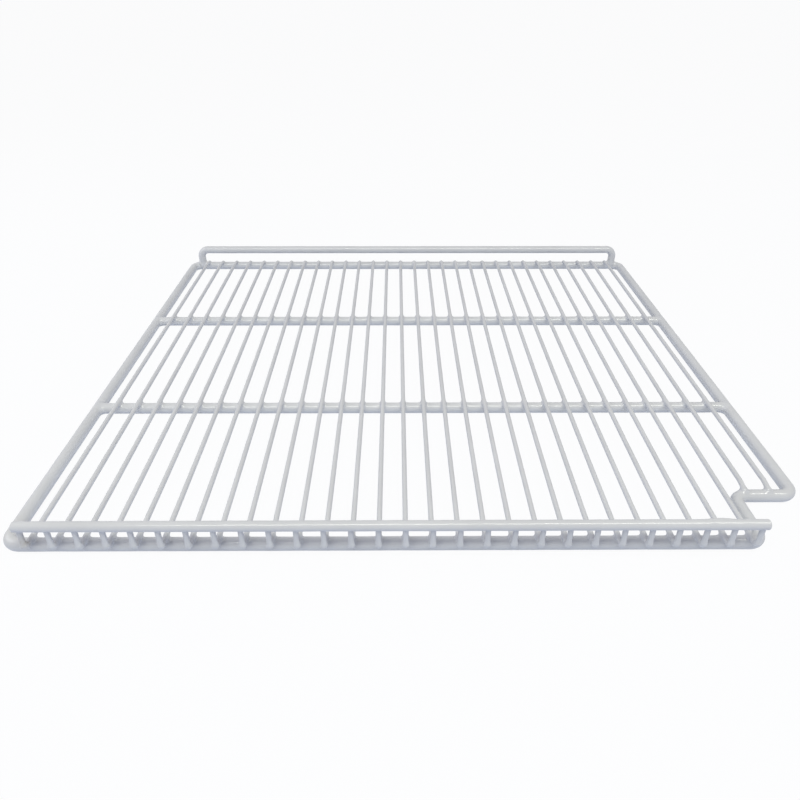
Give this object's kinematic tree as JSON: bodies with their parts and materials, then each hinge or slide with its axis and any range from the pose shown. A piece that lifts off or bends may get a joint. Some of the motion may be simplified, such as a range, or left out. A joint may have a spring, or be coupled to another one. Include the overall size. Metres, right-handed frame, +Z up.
{
  "type": "refrigerator wire shelf",
  "caption": "White plastic-coated steel wire shelf for a refrigerator, with a raised front lip, a rear guard rail and a notched front right corner.",
  "frame": {"origin": "centre of the shelf's overall width and depth, at the underside of the perimeter frame", "axes": "+X to the right along the front bar, +Y from the front lip to the rear guard rail, +Z up out of the deck"},
  "size_m": [0.6276, 0.572, 0.0368],
  "materials": {
    "white_coat": "glossy dipped plastic coat"
  },
  "bodies": {
    "root": {"perimeter_frame": "white_coat", "front_cross_rod": "white_coat", "rear_cross_rod": "white_coat", "deck_wire_01": "white_coat", "deck_wire_02": "white_coat", "deck_wire_03": "white_coat", "deck_wire_04": "white_coat", "deck_wire_05": "white_coat", "deck_wire_06": "white_coat", "deck_wire_07": "white_coat", "deck_wire_08": "white_coat", "deck_wire_09": "white_coat", "deck_wire_10": "white_coat", "deck_wire_11": "white_coat", "deck_wire_12": "white_coat", "deck_wire_13": "white_coat", "deck_wire_14": "white_coat", "deck_wire_15": "white_coat", "deck_wire_16": "white_coat", "deck_wire_17": "white_coat", "deck_wire_18": "white_coat", "deck_wire_19": "white_coat", "deck_wire_20": "white_coat", "deck_wire_21": "white_coat", "deck_wire_22": "white_coat", "deck_wire_23": "white_coat", "deck_wire_24": "white_coat", "deck_wire_25": "white_coat", "deck_wire_26": "white_coat", "deck_wire_27": "white_coat", "deck_wire_28": "white_coat", "deck_wire_29": "white_coat", "deck_wire_30": "white_coat", "front_lip_rod": "white_coat", "rear_guard_rail": "white_coat"}
  },
  "joints": []
}
